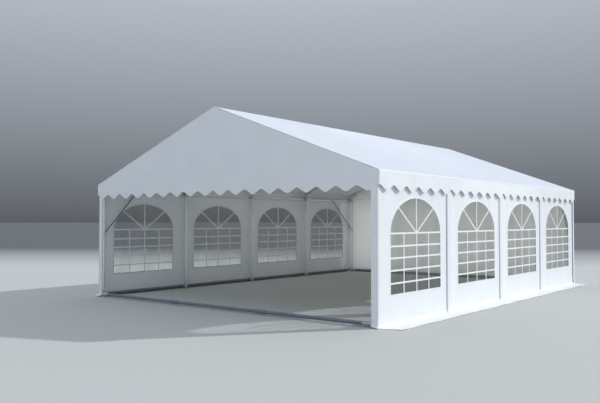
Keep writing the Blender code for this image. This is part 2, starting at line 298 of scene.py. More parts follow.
# %% Cloth finishes
class Finish(Recipe):
    """A material with one Principled shader."""

    def __init__(self, name):
        self.material = bpy.data.materials.new(name)
        self.material.use_nodes = True
        super().__init__(self.material.node_tree)

    def shade(self, sockets, height=None):
        """Fills the shader's sockets and gives the material. The height makes its bumps."""
        if height is not None:
            bump = self.add("Bump", {"Height": height, "Distance": 1.0, "Strength": 1.0})
            sockets["Normal"] = bump.outputs[0]
        self.fill(self.tree.nodes["Principled BSDF"], sockets)
        return self.material


def cloth_finish(name, colour, painted_shade, roughness, crease_depth, splash, dirt, ribbed=False):
    cloth = Finish(name)
    place = cloth.add("Attribute", attribute_name="flat_cut").outputs["Vector"]
    weave = cloth.use(net, {"Place": place})
    folds = cloth.use(creases, {"Place": place, "Depth": crease_depth})
    shade = cloth.use(shade_from_above, {"Colour": colour, "Painted Shade Colour": painted_shade})["Colour"]
    shade = cloth.mixed(cloth.ranged(folds["Mottle"], 0.35, 0.65, 0.0, 0.35), shade,
                        (0.9, 0.9, 0.9, 1.0), "MULTIPLY")
    shade = cloth.mixed(cloth.times(weave["Threads"], 0.05), shade, (1.0, 1.0, 1.0, 1.0))
    outdoors = cloth.use(weather, {"Colour": shade, "Splash Height": splash, "Amount": dirt})
    height = cloth.plus(weave["Height"], folds["Height"])
    if ribbed:
        height = cloth.plus(height, cloth.use(ribs, {"Along": place})["Height"])
    worn = cloth.ranged(outdoors["Soiled"], 0.0, 0.5, roughness, roughness + 0.25)
    return cloth.shade({"Base Color": outdoors["Colour"], "Roughness": worn, "IOR": 1.46,
                        "Coat Weight": 0.12, "Coat Roughness": 0.3}, height)


# The second colour of each pair is painted shade, put on the faces that look up.
white, slope_shade = paint(238, 241, 246), paint(216, 222, 233)
tape_white, tape_shade = paint(241, 244, 248), paint(221, 227, 236)
cover_cloth = cloth_finish("cover_cloth", white, slope_shade, 0.48, 0.004, 0.1, 0.10)
wall_cloth = cloth_finish("wall_cloth", white, white, 0.46, 0.003, 0.2, 0.10)
cover_tape = cloth_finish("cover_tape", tape_white, tape_shade, 0.42, 0.0, 0.1, 0.08, True)
wall_tape = cloth_finish("wall_tape", tape_white, tape_white, 0.42, 0.0, 0.2, 0.08, True)
print("cloth finishes:", cover_cloth.name, wall_cloth.name, cover_tape.name, wall_tape.name)

# %% [markdown]
# The panes are clear soft plastic, a little hazy from wiping. A see-through sheet this thin
# bends no light that anyone would notice, so plain transparency stands for it: the alpha is
# low, and higher in the hazy patches.

# %% Clear film
pane = Finish("clear_film")
place = pane.add("Attribute", attribute_name="flat_cut").outputs["Vector"]
haze = pane.ranged(pane.noise(place, 3.5, 5.0, (1.0, 0.5, 1.0)), 0.35, 0.7, 0.14, 0.22)
buckles = pane.noise(place, 2.6, 2.0)
wiped = pane.ranged(pane.noise(place, 14.0, 4.0, (0.4, 1.0, 1.0)), 0.3, 0.7, 0.10, 0.22)
clear_film = pane.shade({"Base Color": pane.mixed(haze, paint(92, 100, 94),
                                                  paint(128, 134, 129)),
                         "Alpha": haze, "Roughness": wiped, "IOR": 1.45},
                        pane.times(buckles, 0.012))
print("film:", clear_film.name)

# %% [markdown]
# Four steels: bright zinc tubes, duller fittings with their bolts, dark thin braces, and the
# blue-grey bars on the ground that pick up soil. All are one recipe with different values.


# %% Steel finishes
def steel_finish(name, colour, roughness, spangle, contrast, metallic, dirt):
    steel = Finish(name)
    coat = steel.use(zinc, {"Colour": colour, "Spangle Size": spangle,
                            "Contrast": contrast, "Roughness": roughness})
    outdoors = steel.use(weather, {"Colour": coat["Colour"], "Amount": dirt,
                                   "Soil": paint(96, 88, 76), "Splash Height": 0.25})
    return steel.shade({"Base Color": outdoors["Colour"], "Roughness": coat["Roughness"],
                        "Metallic": metallic}, coat["Height"])


zinc_tube = steel_finish("zinc_tube", paint(240, 241, 241), 0.24, 0.011, 0.08, 0.45, 0.3)
fitting_zinc = steel_finish("fitting_zinc", paint(206, 209, 208), 0.40, 0.006, 0.20, 0.45, 0.5)
brace_steel = steel_finish("brace_steel", paint(128, 132, 132), 0.45, 0.006, 0.25, 0.5, 0.3)
ground_tube = steel_finish("ground_tube", paint(132, 142, 156), 0.46, 0.006, 0.3, 0.35, 0.5)
print("steels:", zinc_tube.name, fitting_zinc.name, brace_steel.name, ground_tube.name)

# %% [markdown]
# Every cloth piece is made as a tailor makes it. It is cut flat, on two lengths u and v in
# metres, and then hung: a small rule turns each flat point into its place on the tent. The
# flat place is kept on the points, so that the weave runs true round every bend.


# %% Lines that bend, and even steps along them
class BentLine:
    """A line with rounded corners, read by its length, which starts at self.start."""

    def __init__(self, corners, trims, steps=6):
        corners = [Vector(corner) for corner in corners]
        line = [corners[0]]
        for before, corner, after, trim in zip(corners, corners[1:], corners[2:], trims):
            enter = corner + (before - corner).normalized() * trim
            leave = corner + (after - corner).normalized() * trim
            for i in range(steps + 1):
                t = i / steps
                line.append(enter * (1 - t) ** 2 + corner * 2 * t * (1 - t) + leave * t * t)
        line.append(corners[-1])
        self.points = line
        self.marks = [0.0]
        for a, b in zip(line, line[1:]):
            self.marks.append(self.marks[-1] + (b - a).length)
        self.length = self.marks[-1]
        self.start = 0.0

    def at(self, distance):
        """The point at that length, and the direction square to the line on its right."""
        run = distance - self.start
        i = min(max(bisect_right(self.marks, run) - 1, 0), len(self.points) - 2)
        a, b = self.points[i], self.points[i + 1]
        along = (b - a).normalized()
        return a + along * (run - self.marks[i]), Vector((along.y, -along.x))


def stops(step, *marks):
    """Even steps between each mark and the next, with every mark kept."""
    line = []
    for low, high in zip(marks, marks[1:]):
        count = max(1, round(abs(high - low) / step))
        line += [low + (high - low) * i / count for i in range(count)]
    return line + [marks[-1]]


def row(us, v):
    return [(u, v) for u in us]


def column(u, vs):
    return [(u, v) for v in vs]


def clip(share):
    return min(max(share, 0.0), 1.0)


print("a metre in steps of about 0.3:", [round(x, 2) for x in stops(0.3, 0.0, 1.0)])


# %% [markdown]
# Two makers do all the cloth. One turns a flat cut into a thin closed sheet: the Solidify
# modifier gives it its thickness, and its outer edges are marked sharp, because smooth
# shading would bend the light along every cut edge. The other carries a small cross section
# along a line drawn on the flat cut, ring after ring of points joined by faces. It makes
# hems, seam bands and window bars.

# %% Sheets and bands
CLOTH = 0.0016


def add_piece(name, data, material, slot, *nodes):
    """A finished piece of the tent; nodes are the plain solids that it stands for."""
    data.materials.append(material)
    piece = bpy.data.objects.new(name, data)
    bpy.context.scene.collection.objects.link(piece)
    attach(piece, "root")
    if nodes:
        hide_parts(*nodes)
    return piece


def hung_sheet(name, cut, hang, material, slot, node, thickness=CLOTH, flip=False):
    points, faces = cut
    data = bpy.data.meshes.new(name)
    data.from_pydata([hang(u, v) for u, v in points], [],
                     [face[::-1] for face in faces] if flip else faces)
    flat = data.attributes.new("flat_cut", "FLOAT_VECTOR", "POINT")
    flat.data.foreach_set("vector", np.array([(u, v, 0) for u, v in points]).ravel())
    data.shade_smooth()
    form = bmesh.new()
    form.from_mesh(data)
    for edge in form.edges:
        edge.smooth = not edge.is_boundary
    form.to_mesh(data)
    form.free()
    piece = add_piece(name, data, material, slot, node)
    solid = piece.modifiers.new("thickness", "SOLIDIFY")
    solid.thickness = thickness
    solid.offset = 0.0
    return piece


def ring_faces(low, high):
    """The faces between two rings of points. One of the rings may be a single point."""
    size = max(len(low), len(high))
    for a in range(size):
        b = (a + 1) % size
        yield list(dict.fromkeys((low[a % len(low)], low[b % len(low)],
                                  high[b % len(high)], high[a % len(high)])))


def join_rings(form, rings, closed):
    for low, high in zip(rings, rings[1:] + rings[:1] if closed else rings[1:]):
        for face in ring_faces(low, high):
            form.faces.new(face)


def sweep(form, line, section, hang, closed=False):
    """Carries section, pairs of (to the left, off the cloth), along a line on the flat cut."""
    cut = form.verts.layers.float_vector.get("flat_cut")
    if cut is None:
        cut = form.verts.layers.float_vector.new("flat_cut")
    line = [Vector(point) for point in line]
    count, sides = len(line), []
    for i in range(count if closed else count - 1):
        step = (line[(i + 1) % count] - line[i]).normalized()
        sides.append(Vector((-step.y, step.x)))
    rings, run = [], 0.0
    for i, point in enumerate(line):
        before = sides[i - 1] if closed or i > 0 else sides[0]
        after = sides[i] if i < len(sides) else sides[-1]
        left = (before + after) / (1 + before.dot(after))
        run += (point - line[i - 1]).length if i else 0.0
        ring = []
        for across, lift in section:
            flat = point + left * across
            corner = form.verts.new(hang(flat.x, flat.y, lift))
            corner[cut] = (run, across, 0.0)
            ring.append(corner)
        rings.append(ring)
    join_rings(form, rings, closed)
    if not closed:
        form.faces.new(rings[0])
        form.faces.new(rings[-1])


def hem(form, line, width, hang, inset=0.0, closed=False):
    """A tape folded over the cloth's edge, or lying on it when inset isn't 0."""
    high = CLOTH / 2 + 0.0009
    outer, fold, inner = inset - 0.001, inset + 0.001, inset + width
    sweep(form, line, [(outer, -high * 0.5), (outer, high * 0.5), (fold, high),
                       (inner, high), (inner, -high), (fold, -high)], hang, closed)


def finished(form, name, sharp=30):
    """The mesh of a form, with its faces turned outward and its sharp edges kept."""
    bmesh.ops.recalc_face_normals(form, faces=form.faces)
    data = bpy.data.meshes.new(name)
    form.to_mesh(data)
    form.free()
    data.shade_smooth()
    data.set_sharp_from_angle(angle=radians(sharp))
    return data


def add_trim(name, form, material, slot):
    return add_piece(name, finished(form, name, 35), material, slot)


print("cloth thickness:", CLOTH)


# %% [markdown]
# A flat cut is a grid of cells. Round a window the grid gives way to rings: each ring goes
# from a square block of the grid to the window's own edge, so the faces bend with the arch
# and no long thin ones appear.

# %% Cutting a panel, with a window in it
window_rise = window_top - window_spring
arch_steps = 48


def window_line(margin=0.0, step=0.04):
    """The window's edge round (0, 0) at the middle of its width, from the left sill corner."""
    half, rise = window_half + margin, window_rise + margin
    low = window_sill - margin
    line = row(stops(step, -half, half)[:-1], low)
    line += column(half, stops(step, low, window_spring)[:-1])
    line += [(half * cos(a), window_spring + rise * sin(a))
             for a in (pi * i / arch_steps for i in range(arch_steps))]
    return line + column(-half, stops(step, window_spring, low)[:-1])


def window_hits(centre, toward):
    """Where lines from the middle of the window to each of the given points cross its edge."""
    edge = np.array(window_line(step=0.01)) - (0.0, centre[1])
    angles = np.arctan2(edge[:, 1], edge[:, 0])
    reach = np.hypot(edge[:, 0], edge[:, 1])
    found = []
    for u, v in toward:
        angle = atan2(v - centre[1], u - centre[0])
        r = float(np.interp(angle, angles, reach, period=2 * pi))
        found.append((centre[0] + r * cos(angle), centre[1] + r * sin(angle)))
    for side in (-1, 1):
        corner = (centre[0] + side * window_half, window_sill)
        near = min(range(len(found)), key=lambda i: (found[i][0] - corner[0]) ** 2
                   + (found[i][1] - corner[1]) ** 2)
        found[near] = corner
    return found


def rings_inward(points, faces, outer, aims, shares):
    """Rings of faces from the outer points toward their aims. Gives the last ring."""
    starts, aims = [Vector(points[n]) for n in outer], [Vector(aim) for aim in aims]
    for share in shares:
        inner = [len(points) + n for n in range(len(outer))]
        points += [tuple(start.lerp(aim, share)) for start, aim in zip(starts, aims)]
        faces += ring_faces(outer, inner)
        outer = inner
    return outer


def cut_cloth(us, vs, is_cloth, block=None, centre=None):
    """Points and faces of a flat cut on grid lines us and vs, with rings round a window."""
    points, faces, number = [], [], {}

    def corner(i, j):
        if (i, j) not in number:
            number[i, j] = len(points)
            points.append((us[i], vs[j]))
        return number[i, j]

    if block:
        left, right = us.index(block[0]), us.index(block[1])
        low, high = vs.index(block[2]), vs.index(block[3])
    for i in range(len(us) - 1):
        for j in range(len(vs) - 1):
            in_block = block and left <= i < right and low <= j < high
            if is_cloth(i, j) and not in_block:
                faces.append((corner(i, j), corner(i + 1, j), corner(i + 1, j + 1),
                              corner(i, j + 1)))
    if block:
        rim = [corner(i, low) for i in range(left, right)]
        rim += [corner(right, j) for j in range(low, high)]
        rim += [corner(i, high) for i in range(right, left, -1)]
        rim += [corner(left, j) for j in range(high, low, -1)]
        hits = window_hits(centre, [points[n] for n in rim])
        rings_inward(points, faces, rim, hits, (0.45, 0.8, 1.0))
    return points, faces


def declare(sheet, cut):
    flat = np.array(cut[0])
    width, length = (float(side) for side in flat.max(0) - flat.min(0))
    area = 0.0
    for face in cut[1]:
        corners = flat[list(face)]
        after = np.roll(corners, -1, axis=0)
        area += abs((corners[:, 0] * after[:, 1] - corners[:, 1] * after[:, 0]).sum()) / 2
    area = min(float(area), 0.9999 * width * length)
    print(sheet.name, "cut", round(width, 2), "by", round(length, 2), "area", round(area, 2))


# %% [markdown]
# The roof cover is one cloth from hem to hem over the ridge. Between the frames it sags a
# little under its own weight, over each rafter it stays up, and the valance below the eave
# hangs free and flutters. u runs across the roof from the ridge, v along it.


# %% The way the cover hangs
side_offset = 0.018


def scallop(distance):
    """How far the valance hangs below the eave at that distance from a corner."""
    wave = asin(0.94 * cos(2 * pi * distance / scallop_pitch)) / asin(0.94)
    return valance_drop + scallop_depth * (1 - wave) / 2


def side_drop(y):
    return scallop(y - front - side_offset)


def bay_share(y):
    """0 at a frame, 1 halfway between two frames."""
    for low, high in zip(frame_lines, frame_lines[1:]):
        if low <= y <= high:
            return sin(pi * (y - low) / (high - low))
    return 0.0


roof_x, spare = half_width - CLOTH / 2, 0.3
across_roof = BentLine([(roof_x, eave_height - spare), (roof_x, eave_height),
                        (0.0, ridge_height), (-roof_x, eave_height),
                        (-roof_x, eave_height - spare)], (0.004, 0.03, 0.004))
across_roof.start = -across_roof.length / 2
eave_u = across_roof.length / 2 - spare
roof_sag = 0.009


def hang_cover(u, v, lift=0.0):
    spot, normal = across_roof.at(u)
    if abs(u) < eave_u:
        lift -= roof_sag * bay_share(v) * sin(pi * abs(u) / eave_u)
    else:
        free = min((abs(u) - eave_u) / valance_drop, 1.2)
        lift += free ** 2 * (0.003 * sin(7.1 * v + u) + 0.002 * sin(17.3 * v))
    return Vector((spot.x + normal.x * lift, v, spot.y + normal.y * lift))


print("from ridge to eave:", round(eave_u, 3))

# %% [markdown]
# The cover's grid has fine steps at the bends of the eave. Below it, each row ends at the
# scallop's own depth, so the last line of the grid is the hem. A tape is folded over the
# whole edge, and a pressed seam lies over each rafter between the gables.

# %% Roof cover
cover_hem, rafter_seam = 0.016, 0.03
scallop_step = scallop_pitch / 10
cover_vs = stops(scallop_step, front, back)
bend_us = [eave_u - 0.03, eave_u - 0.012, eave_u - 0.004, eave_u]
slope_us = stops(0.08, *[-u for u in reversed(bend_us)], -0.1, 0.0, 0.1, *bend_us)
hem_shares = [0.022, 0.06, 0.17, 0.4, 0.7, 1.0]
points = []
for v in cover_vs:
    drop = side_drop(v)
    points += row([-eave_u - drop * share for share in reversed(hem_shares)] + slope_us
                  + [eave_u + drop * share for share in hem_shares], v)
size = len(slope_us) + 2 * len(hem_shares)
faces = [(a, a + 1, a + size + 1, a + size) for a in range(len(points) - size)
         if (a + 1) % size]
cover = hung_sheet("cover_sheet", (points, faces), hang_cover, cover_cloth, "cover_fabric",
                   "roof_cover", flip=True)

front_u, back_u = eave_u + side_drop(front), eave_u + side_drop(back)
edge = row(stops(0.1, -front_u, -0.1, 0.1, front_u)[:-1], front)
edge += [(eave_u + side_drop(v), v) for v in cover_vs[:-1]]
edge += row(stops(0.1, back_u, 0.1, -0.1, -back_u)[:-1], back)
edge += [(-eave_u - side_drop(v), v) for v in cover_vs[:0:-1]]
form = bmesh.new()
hem(form, edge, cover_hem, hang_cover, closed=True)
for v in frame_lines[1:-1]:
    hem(form, row(stops(0.1, -eave_u, -0.1, 0.1, eave_u), v), rafter_seam, hang_cover,
        -rafter_seam / 2)
cover_trim = add_trim("cover_trim", form, cover_tape, "cover_fabric")
declare(cover, (points, faces))

# %% [markdown]
# The gables are triangles with the same scalloped hem. The grid is stretched in each column
# from the hem to the slope, so its top edge follows the roof. A slight belly keeps a flat
# cloth from looking like a board.


# %% Gables
def hang_gable(end):
    outward = -1 if end == "front" else 1
    plane = front + CLOTH if end == "front" else back - CLOTH

    def hang(u, v, lift=0.0):
        high = max(v - eave_height, 0.0)
        belly = 0.006 * sin(pi * min(high / 1.1, 1.0)) * cos(pi * u / 6) ** 2
        free = max((eave_height - v) / valance_drop, 0.0)
        flutter = free ** 2 * (0.0035 * sin(6.3 * u + outward) + 0.0025 * sin(15.1 * u))
        return Vector((u, plane + outward * (lift + belly * 0.6 + flutter), v))
    return hang


under_cover, gable_offset, gable_stretch = 0.0045, 0.026, 0.998
gable_half = half_width - under_cover
gable_us = stops(scallop_step, -gable_half, 0.0, gable_half)
hem_line = [(u, eave_height - scallop(gable_stretch * (u + half_width) + gable_offset))
            for u in gable_us]
shares = stops(0.045, 0.0, 1.0)
size = len(shares)
for end, rafters in (("front", "rafter_pair_1"), ("back", "rafter_pair_5")):
    points = []
    for u, low in hem_line:
        high = ridge_height - abs(u) * tan(slope) - (under_cover + CLOTH) / cos(slope)
        points += column(u, [low + (high - low) * share for share in shares])
    faces = [(a, a + size, a + size + 1, a + 1) for a in range(len(points) - size)
             if (a + 1) % size]
    gable = hung_sheet(f"gable_{end}_sheet", (points, faces), hang_gable(end), cover_cloth,
                       "cover_fabric", f"gable_{end}", flip=end == "back")
    form = bmesh.new()
    hem(form, hem_line, cover_hem, hang_gable(end))
    trim = add_trim(f"gable_{end}_trim", form, cover_tape, "cover_fabric")
    declare(gable, (points, faces))

# %% [markdown]
# A side wall is four panels. Each hangs from the eave rail, turns out at the ground as a
# skirt, and laps over the panel in front of it: its edge lies 100 mm ahead of the post and
# stands a little off the wall, which throws the thin upright shadow seen at each post. u is
# the distance along the tent and v the height, both true on the flat wall, so a window is
# placed in plain metres.

# %% The line that a side panel follows
lap_off = 0.018
lap_ahead, lap_behind, lap_step = 0.10, 0.05, 0.12
skirt_width, skirt_slant = 0.30, 0.075
corner_flap, corner_radius, end_clearance = 0.098, 0.012, 0.0063
flap_y = front + end_clearance
tuck_length, tuck_bottom, foot_bend = 0.02, 0.06, 0.035
rise = BentLine([(skirt_width, 0.002), (0.0, 0.002), (0.0, wall_top)], (foot_bend,))
rise.start = wall_top - rise.length
skirt_v = rise.start
lap_x = wall_x + lap_off


def panel_plan(k):
    """The line on the ground that panel k follows, on the right-hand side."""
    end = frame_lines[k + 1] + tuck_length
    if k == 0:
        plan = BentLine([(wall_x - corner_flap, flap_y), (wall_x, flap_y), (wall_x, end)],
                        (corner_radius,))
    else:
        y = frame_lines[k]
        plan = BentLine([(wall_x + 0.003, y - lap_ahead), (lap_x, y - lap_ahead + 0.004),
                         (lap_x, y + lap_behind), (wall_x, y + lap_behind + lap_step),
                         (wall_x, end)], (0.003, 0.01, 0.01), 3)
    plan.start = end - plan.length
    return plan


def skirt_start(k):
    """Where panel k's skirt begins: past the front flap, or past the edge turned in."""
    return flap_y + corner_radius if k == 0 else panel_plan(k).start + 0.019


print("wall panels from", round(skirt_v, 3), "to", round(wall_top, 3))

# %% [markdown]
# Hanging a panel bends it along that line and down into the skirt. It also adds what keeps
# real cloth from looking stiff: a belly between the posts, a skirt that doesn't lie quite
# flat, and corners whose free foot swings out. The skirt's two ends are cut at a slant.

# %% The way a side panel hangs
belly_depth, held_zone = 0.012, 0.3
slant_run, foot_height = 0.5, 0.14
flap_rise, flap_flare, back_flare = 0.022, 0.03, 0.02
skirt_lift, side_ripple, lap_rise = 0.002, 0.006, 0.003


def soft_wave(u, v, k):
    """A gentle unevenness from 0 to about 1, different in each bay."""
    wave = sin(2.3 * u + 1.7 * k) + 0.6 * sin(4.9 * u + 2.1 * v + k) + 0.4 * sin(7.3 * v - 3 * u)
    return wave / 4 + 0.5


def off_the_ends(z):
    """1 on most of the wall's height, going to 0 at the ground and at the rail."""
    return clip(z / held_zone) * clip((wall_top - z) / held_zone)


def foot_flare(v):
    """How far the foot of a back corner swings out before it meets the skirt."""
    return back_flare * clip(1 - v / foot_height) ** 2


def hang_side(side, k):
    sign = 1 if side == "right" else -1
    plan = panel_plan(k)
    turned = skirt_start(k)

    def hang(u, v, lift=0.0):
        base, normal = plan.at(u)
        step, lean = rise.at(v)
        z, on_skirt = step.y, step.x / skirt_width
        off = max(base.x - wall_x, 0.0)
        calm = bay_share(u) * off_the_ends(z)
        lift -= belly_depth * calm * (0.4 + 0.6 * soft_wave(u, v, k))
        face = normal if u < turned else Vector((1.0, 0.0))
        spread = step.x * (skirt_width - off) / skirt_width
        shear = 0.0
        if u >= turned and k == 0:
            shear = skirt_slant * on_skirt * max(1 - (u - turned) / slant_run, 0.0)
        if k == 3:
            near_end = max(1 - (frame_lines[4] + tuck_length - u) / slant_run, 0.0)
            shear = -skirt_slant * on_skirt * near_end
            spread += foot_flare(v) * near_end * (1 - on_skirt)
        z += on_skirt * (skirt_lift + side_ripple * soft_wave(3.1 * u, 0.0, k) ** 2)
        z += lap_rise * (off / lap_off) * on_skirt
        if k == 0:
            free = clip((flap_y - u) / corner_flap)
            z += flap_rise * free * clip(1 - v / 0.5) ** 2
            foot = max(1 - v / foot_height, 0.0) ** 2
            spread += flap_flare * (1 - free) * foot * (u < turned)
        x = base.x + face.x * (spread + lift * lean.x)
        y = base.y + face.y * (spread + lift * lean.x) + shear
        return Vector((sign * x, y, z + lift * lean.y))
    return hang


print("belly between posts:", belly_depth)

# %% [markdown]
# The clear film is a second sheet behind the opening, cut to the window's shape with a weld
# all round. The white bars on it are strips carried along straight lines of the same flat
# cut: five across, three up, and two spokes in the arch.

# %% Film and window bars
film_weld, film_thickness = 0.02, 0.0008
bar_half, bar_lift = 0.0115, 0.0012
bar_heights = (0.542, 0.711, 0.874, 1.030, 1.200)
uprights = ((-0.35, window_spring), (0.0, window_top), (0.35, window_spring))
arch_angle = radians(46)


def add_window(name, centre, hang, flip):
    """The film and its bars, in a wall that is hung by hang."""
    def behind(u, v, lift=0.0):
        return hang(u, v, lift - CLOTH)

    points = [(centre[0] + u, v) for u, v in window_line(film_weld)]
    rim, faces = list(range(len(points))), []
    last_ring = rings_inward(points, faces, rim, [centre] * len(rim), (0.15, 0.4, 0.65, 0.88))
    faces.append(tuple(last_ring))
    film = hung_sheet(f"film_{name}_sheet", (points, faces), behind, clear_film, "window_film",
                      f"window_film_{name}", film_thickness, flip)
    form = bmesh.new()
    strip = [(-bar_half, -bar_lift), (bar_half, -bar_lift), (bar_half, bar_lift),
             (-bar_half, bar_lift)]
    thinner = [(across * 0.93, lift * 0.8) for across, lift in strip]
    for z in bar_heights:
        sweep(form, row([centre[0] + u for u in stops(0.08, -window_half, window_half)], z),
              strip, behind)
    for u, top in uprights:
        sweep(form, column(centre[0] + u, stops(0.08, window_sill, top)), thinner, behind)
    for aim in (-1, 1):
        hub = Vector((0.0, window_spring))
        tip = Vector((aim * window_half * cos(arch_angle),
                      window_spring + window_rise * sin(arch_angle)))
        spoke = [hub.lerp(tip, i / 7) for i in range(8)]
        sweep(form, [(centre[0] + p.x, p.y) for p in spoke], thinner, behind)
    bars = add_trim(f"window_bars_{name}", form, wall_tape, "wall_fabric")
    declare(film, (points, faces))


print("bars in a window:", len(bar_heights) + len(uprights) + 2)

# %% [markdown]
# Each panel is cut with its window, with grid lines at every place where it bends or ends.
# Then its trim is added: a hem on every free edge and a pressed band round the window. The
# part tucked behind the next panel has no skirt, so it ends a little above the ground.

# %% Side walls
grid_step, block_margin = 0.042, 0.09
bottom_hem, top_hem, side_hem, ring_band = 0.02, 0.04, 0.025, 0.026
for side in ("right", "left"):
    for k in range(4):
        name, flip = f"{side}_{k + 1}", side == "left"
        hang, plan, turned = hang_side(side, k), panel_plan(k), skirt_start(k)
        centre = ((frame_lines[k] + frame_lines[k + 1]) / 2, (window_sill + window_spring) / 2)
        block = (centre[0] - window_half - block_margin, centre[0] + window_half + block_margin,
                 window_sill - 0.1, window_top + block_margin)
        start, end = plan.start, plan.start + plan.length
        if k == 0:
            marks = [start, flap_y, turned]
        else:
            lap_end = frame_lines[k] + lap_behind
            marks = [start, turned - 0.006, turned, lap_end - 0.01, lap_end + 0.01,
                     lap_end + lap_step]
        marks += [block[0], block[1], frame_lines[k + 1] - lap_ahead - 0.0003, end]
        us = stops(grid_step, *marks)
        vs = stops(grid_step, skirt_v, -foot_bend, 0.0, foot_bend, tuck_bottom, block[2],
                   block[3], wall_top)
        turn_at, tuck_at = us.index(turned), us.index(end if k == 3 else marks[-2])
        ground_row, tuck_row = vs.index(0.0), vs.index(tuck_bottom)
        cut = cut_cloth(us, vs, lambda i, j: not (i < turn_at and j < ground_row
                                                  or i >= tuck_at and j < tuck_row),
                        block, centre)
        wall = hung_sheet(f"wall_{name}_sheet", cut, hang, wall_cloth, "wall_fabric",
                          f"side_wall_{name}", flip=flip)
        form = bmesh.new()
        hem(form, row(us[turn_at:tuck_at + 1], skirt_v), bottom_hem, hang)
        hem(form, row(us[::-1], wall_top), top_hem, hang)
        hem(form, column(start, vs[ground_row:][::-1]), side_hem, hang,
            0.0 if k == 0 else turned - start + 0.001)
        hem(form, column(end, vs[0 if k == 3 else tuck_row:]), side_hem, hang)
        hem(form, [(centre[0] + u, v) for u, v in window_line()], ring_band, hang,
            -0.001 - ring_band, True)
        trim = add_trim(f"wall_{name}_trim", form, wall_tape, "wall_fabric")
        add_window(name, centre, hang, flip)
        declare(wall, cut)

# %% [markdown]
# The back wall is one wide plain cloth, joined from three lengths by pressed seams. It wraps
# round both corners over the side panels, and its skirt is cut off at each corner, as theirs.

# %% Back wall
back_y = back - end_clearance
back_wrap, wrap_bottom, bend = 0.075, 0.02, 0.01
back_belly, back_ripple, cloth_seam = 0.007, 0.007, 0.028
back_plan = BentLine([(lap_x, back_y - back_wrap), (lap_x, back_y), (-lap_x, back_y),
                      (-lap_x, back_y - back_wrap)], (bend, bend))
back_plan.start = -back_plan.length / 2
corner_u = back_plan.length / 2 - back_wrap


def hang_back(u, v, lift=0.0):
    base, normal = back_plan.at(u)
    step, lean = rise.at(v)
    z, on_skirt = step.y, step.x / skirt_width
    calm = sin(pi * clip((u + corner_u) / (2 * corner_u))) ** 0.5 * off_the_ends(z)
    lift += back_belly * calm * soft_wave(u, v, 5)
    outward = -1 if u > 0 else 1
    near_end = clip((abs(u) - corner_u + slant_run) / slant_run)
    x = base.x + normal.x * lift * lean.x
    x -= outward * skirt_slant * on_skirt * near_end
    x += outward * foot_flare(v) * (abs(u) > corner_u) * (1 - on_skirt)
    y = base.y + normal.y * lift * lean.x + step.x
    z += on_skirt * (skirt_lift + back_ripple * soft_wave(3.1 * u, 0.0, 5) ** 2)
    return Vector((x, y, z + lift * lean.y))


us = stops(grid_step * 1.4, -corner_u - back_wrap, -corner_u - bend, -corner_u + bend,
           corner_u - bend, corner_u + bend, corner_u + back_wrap)
vs = stops(grid_step, skirt_v, -foot_bend, wrap_bottom, tuck_bottom, wall_top)
low_row = vs.index(wrap_bottom)
skirt_from, skirt_to = us.index(-corner_u - bend), us.index(corner_u + bend)
cut = cut_cloth(us, vs, lambda i, j: j >= low_row or skirt_from <= i < skirt_to)
back_sheet = hung_sheet("back_wall_sheet", cut, hang_back, wall_cloth, "wall_fabric",
                        "back_wall")
form = bmesh.new()
hem(form, row(us[skirt_from:skirt_to + 1], skirt_v), bottom_hem, hang_back)
hem(form, row(us[::-1], wall_top), top_hem, hang_back)
for u in (-1.0, 1.0):
    hem(form, column(u, vs), cloth_seam, hang_back, -cloth_seam / 2)
skirt_ends = vs[:low_row + 1], us[skirt_from], us[skirt_to], bottom_hem
for rows, u_left, u_right, width in ((vs[low_row:], us[0], us[-1], side_hem), skirt_ends):
    hem(form, column(u_left, rows[::-1]), width, hang_back)
    hem(form, column(u_right, rows), width, hang_back)
back_trim = add_trim("back_wall_trim", form, wall_tape, "wall_fabric")
declare(back_sheet, cut)

# %% [markdown]
# Tubes, sleeves, bolts and weld beads are all turned shapes: a short profile carried round an
# axis, as on a lathe. The rings are joined as in the bands, and a profile that ends on the
# axis closes with a point.

# %% Turned shapes
TUBE, FITTING, RIM = 0.025, 0.031, 0.0015


def turn(form, start, axis, profile, sides=28, hollow=False):
    """Carries profile, pairs of (distance along the axis, radius), round an axis."""
    start, axis = Vector(start), Vector(axis).normalized()
    turned = axis.to_track_quat("Z", "Y")
    a, b = turned @ Vector((1, 0, 0)), turned @ Vector((0, 1, 0))
    angles = [2 * pi * s / sides for s in range(sides)]
    rings = []
    for distance, radius in profile:
        centre = start + axis * distance
        rings.append([form.verts.new(centre + (a * cos(t) + b * sin(t)) * radius)
                      for t in (angles if radius else (0,))])
    join_rings(form, rings, hollow)


def tube(form, start, end, radius=TUBE, bore=0.0):
    """A length of tube with softened ends, closed unless it has a bore."""
    start, end = Vector(start), Vector(end)
    length = (end - start).length
    turn(form, start, end - start,
         [(0, bore), (0, radius - RIM), (RIM, radius), (length - RIM, radius),
          (length, radius - RIM), (length, bore)], hollow=bore > 0)


def sleeve(form, start, end, radius=FITTING):
    tube(form, start, end, radius, TUBE + 0.0002)


def bead(form, centre, axis, radius=FITTING, size=0.0025):
    """A weld bead round a tube."""
    turn(form, Vector(centre) - Vector(axis).normalized() * size * 1.5, axis,
         [(0, radius), (size * 0.6, radius + size * 0.8), (size * 1.5, radius + size),
          (size * 2.4, radius + size * 0.8), (size * 3, radius)], hollow=True)


def bolt(form, place, outward):
    """A hexagon head on a washer."""
    turn(form, place, outward, [(-0.001, 0), (-0.001, 0.010), (0.0015, 0.010), (0.0015, 0)], 20)
    turn(form, Vector(place) + Vector(outward).normalized() * 0.0015, outward,
         [(0, 0), (0, 0.0088), (0.005, 0.0088), (0.0064, 0.0072), (0.0064, 0)], 6)


